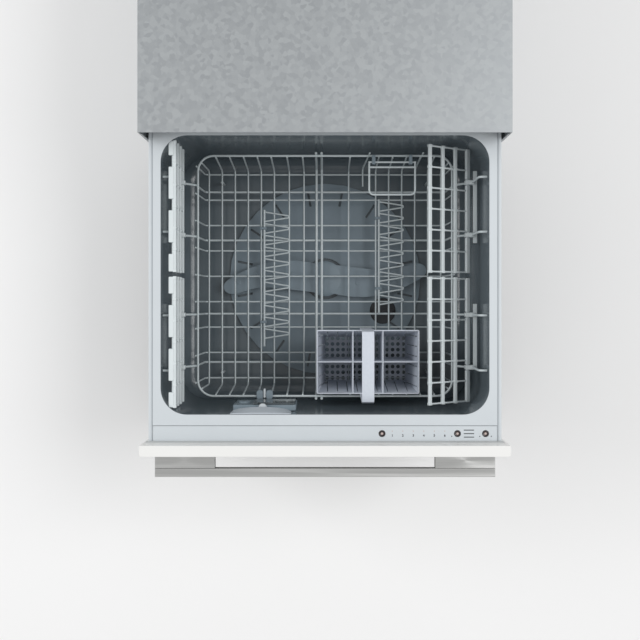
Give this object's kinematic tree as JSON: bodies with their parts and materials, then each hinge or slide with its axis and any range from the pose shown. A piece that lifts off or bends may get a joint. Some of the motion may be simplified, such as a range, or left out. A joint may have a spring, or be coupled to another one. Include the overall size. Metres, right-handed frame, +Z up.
{
  "type": "dishwasher drawer",
  "caption": "Built-in dishwasher drawer, pulled open: steel chassis and lid, tub on telescopic runners, panel front with a bar handle, wire basket with folding racks, cutlery basket.",
  "frame": {"origin": "middle of the underside of the chassis", "axes": "+X to the right of someone facing the front panel, -Y out of the front, the way the drawer opens, +Z up"},
  "size_m": [0.599, 1.1124, 0.41],
  "materials": {
    "zinc_sheet": "zinc-coated sheet steel, matt grey",
    "runner_steel": "bright zinc-plated rolled steel",
    "lid_plastic": "pale grey moulded plastic",
    "seal_rubber": "dark grey soft rubber",
    "tub_plastic": "smooth grey moulded plastic, semi-gloss",
    "fascia_plastic": "smooth pale grey plastic, satin",
    "button_plastic": "near-black glossy plastic",
    "board_laminate": "green glass-fibre board",
    "panel_lacquer": "white lacquered board",
    "handle_steel": "brushed stainless steel, grain along the bar",
    "dark_plastic": "dark grey moulded plastic",
    "grey_plastic": "mid grey moulded plastic",
    "heater_steel": "stainless steel",
    "pale_plastic": "pale grey moulded plastic",
    "clear_plastic": "smoke-grey clear plastic",
    "coated_wire": "steel wire in a grey nylon coat",
    "rack_plastic": "pale grey moulded plastic",
    "cutlery_plastic": "cool pale grey moulded plastic"
  },
  "bodies": {
    "chassis": {"chassis_base": "zinc_sheet", "chassis_top": "zinc_sheet", "chassis_side_left": "zinc_sheet", "chassis_side_right": "zinc_sheet", "inlet_valve": "lid_plastic", "drain_outlet": "dark_plastic", "terminal_box": "dark_plastic", "runner_fixed_left": "runner_steel", "runner_fixed_right": "runner_steel", "lid_actuator_left": "dark_plastic", "lid_actuator_right": "dark_plastic"},
    "lid": {"lid": "lid_plastic", "lid_seal": "seal_rubber"},
    "middle_runner_left": {"runner_middle_left": "runner_steel"},
    "middle_runner_right": {"runner_middle_right": "runner_steel"},
    "drawer": {"tub": "tub_plastic", "side_trim_left": "fascia_plastic", "side_trim_right": "fascia_plastic", "control_fascia": "fascia_plastic", "control_board": "board_laminate", "front_panel": "panel_lacquer", "front_frame": "zinc_sheet", "handle_bar": "handle_steel", "handle_shoulder_left": "handle_steel", "handle_shoulder_right": "handle_steel", "runner_inner_left": "runner_steel", "runner_inner_right": "runner_steel", "tub_bracket_left": "zinc_sheet", "tub_bracket_right": "zinc_sheet", "sump": "grey_plastic", "wash_motor": "dark_plastic", "drain_pump": "dark_plastic", "arm_post": "grey_plastic", "heater_plate": "heater_steel", "filter_plate": "grey_plastic", "dispenser_body": "pale_plastic"},
    "impeller": {"impeller": "dark_plastic"},
    "drain_filter": {"drain_filter": "dark_plastic"},
    "spray_arm": {"spray_arm": "pale_plastic"},
    "dispenser_lid": {"dispenser_lid": "clear_plastic"},
    "dispenser_latch": {"dispenser_latch": "pale_plastic"},
    "rinse_cap": {"rinse_cap": "grey_plastic"},
    "button_1": {"button_1": "button_plastic"},
    "button_2": {"button_2": "button_plastic"},
    "button_3": {"button_3": "button_plastic"},
    "basket": {"basket_floor": "coated_wire", "basket_front": "coated_wire", "basket_rear": "coated_wire", "basket_left": "coated_wire", "basket_right": "coated_wire", "basket_clip": "grey_plastic"},
    "cup_rack_left_rear": {"cup_rack_left_rear": "rack_plastic"},
    "cup_rack_left_front": {"cup_rack_left_front": "rack_plastic"},
    "cup_rack_right_rear": {"cup_rack_right_rear": "rack_plastic"},
    "cup_rack_right_front": {"cup_rack_right_front": "rack_plastic"},
    "tine_row_left": {"tine_row_left": "coated_wire"},
    "tine_row_right": {"tine_row_right": "coated_wire"},
    "rear_shelf": {"rear_shelf": "coated_wire"},
    "cutlery": {"cutlery_basket": "cutlery_plastic", "cutlery_handle": "cutlery_plastic"}
  },
  "joints": [
    {"name": "drawer_slide", "type": "slide", "parent": "chassis", "child": "drawer", "axis": [0, 1, 0], "range_m": [0, 0.5]},
    {"name": "middle_runner_left_slide", "type": "slide", "parent": "chassis", "child": "middle_runner_left", "axis": [0, 1, 0], "range_m": [0, 0.25]},
    {"name": "middle_runner_right_slide", "type": "slide", "parent": "chassis", "child": "middle_runner_right", "axis": [0, 1, 0], "range_m": [0, 0.25]},
    {"name": "lid_lower", "type": "slide", "parent": "chassis", "child": "lid", "axis": [0, 0, -1], "range_m": [0, 0.008]},
    {"name": "impeller_spin", "type": "hinge", "parent": "drawer", "child": "impeller", "pos_m": [0, -0.5016, 0.05], "axis": [0, 0, 1], "continuous": true},
    {"name": "drain_filter_turn", "type": "hinge", "parent": "drawer", "child": "drain_filter", "pos_m": [0.112, -0.5636, 0.08], "axis": [0, 0, 1], "range_deg": [0, 90]},
    {"name": "spray_arm_spin", "type": "hinge", "parent": "drawer", "child": "spray_arm", "pos_m": [0, -0.5016, 0.092], "axis": [0, 0, 1], "continuous": true},
    {"name": "dispenser_lid_hinge", "type": "hinge", "parent": "drawer", "child": "dispenser_lid", "pos_m": [-0.087, -0.72025, 0.2296], "axis": [-1, 0, 0], "range_deg": [0, 85]},
    {"name": "dispenser_latch_press", "type": "slide", "parent": "drawer", "child": "dispenser_latch", "axis": [0, 0, -1], "range_m": [0, 0.0025], "stiffness_N_per_m": 400, "springref_m": -0.001},
    {"name": "rinse_cap_turn", "type": "hinge", "parent": "drawer", "child": "rinse_cap", "pos_m": [-0.141, -0.72225, 0.264], "axis": [0, 1, 0], "range_deg": [0, 90]},
    {"name": "button_1_press", "type": "slide", "parent": "drawer", "child": "button_1", "axis": [0, 0, -1], "range_m": [0, 0.0012], "stiffness_N_per_m": 500, "springref_m": -0.0005},
    {"name": "button_2_press", "type": "slide", "parent": "drawer", "child": "button_2", "axis": [0, 0, -1], "range_m": [0, 0.0012], "stiffness_N_per_m": 500, "springref_m": -0.0005},
    {"name": "button_3_press", "type": "slide", "parent": "drawer", "child": "button_3", "axis": [0, 0, -1], "range_m": [0, 0.0012], "stiffness_N_per_m": 500, "springref_m": -0.0005},
    {"name": "basket_lift", "type": "slide", "parent": "drawer", "child": "basket", "axis": [0, 0, -1], "range_m": [-0.35, 0]},
    {"name": "cup_rack_left_rear_fold", "type": "hinge", "parent": "basket", "child": "cup_rack_left_rear", "pos_m": [-0.25, -0.3872, 0.258], "axis": [0, 1, 0], "range_deg": [0, 55]},
    {"name": "cup_rack_left_front_fold", "type": "hinge", "parent": "basket", "child": "cup_rack_left_front", "pos_m": [-0.25, -0.613, 0.258], "axis": [0, 1, 0], "range_deg": [0, 55]},
    {"name": "cup_rack_right_rear_fold", "type": "hinge", "parent": "basket", "child": "cup_rack_right_rear", "pos_m": [0.25, -0.3872, 0.258], "axis": [0, 1, 0], "range_deg": [0, 55]},
    {"name": "cup_rack_right_front_fold", "type": "hinge", "parent": "basket", "child": "cup_rack_right_front", "pos_m": [0.25, -0.613, 0.258], "axis": [0, 1, 0], "range_deg": [0, 55]},
    {"name": "tine_row_left_fold", "type": "hinge", "parent": "basket", "child": "tine_row_left", "pos_m": [-0.1153, -0.5016, 0.1178], "axis": [0, -1, 0], "range_deg": [0, 80]},
    {"name": "tine_row_right_fold", "type": "hinge", "parent": "basket", "child": "tine_row_right", "pos_m": [0.1025, -0.5016, 0.1178], "axis": [0, -1, 0], "range_deg": [0, 80]},
    {"name": "rear_shelf_fold", "type": "hinge", "parent": "basket", "child": "rear_shelf", "pos_m": [0.12, -0.2966, 0.228], "axis": [-1, 0, 0], "range_deg": [0, 85]},
    {"name": "cutlery_lift", "type": "slide", "parent": "basket", "child": "cutlery", "axis": [0, 0, -1], "range_m": [-0.2, 0]}
  ],
  "couplings": [
    {"joint": "middle_runner_left_slide", "follows": "drawer_slide", "ratio": 0.5},
    {"joint": "middle_runner_right_slide", "follows": "drawer_slide", "ratio": 0.5}
  ]
}
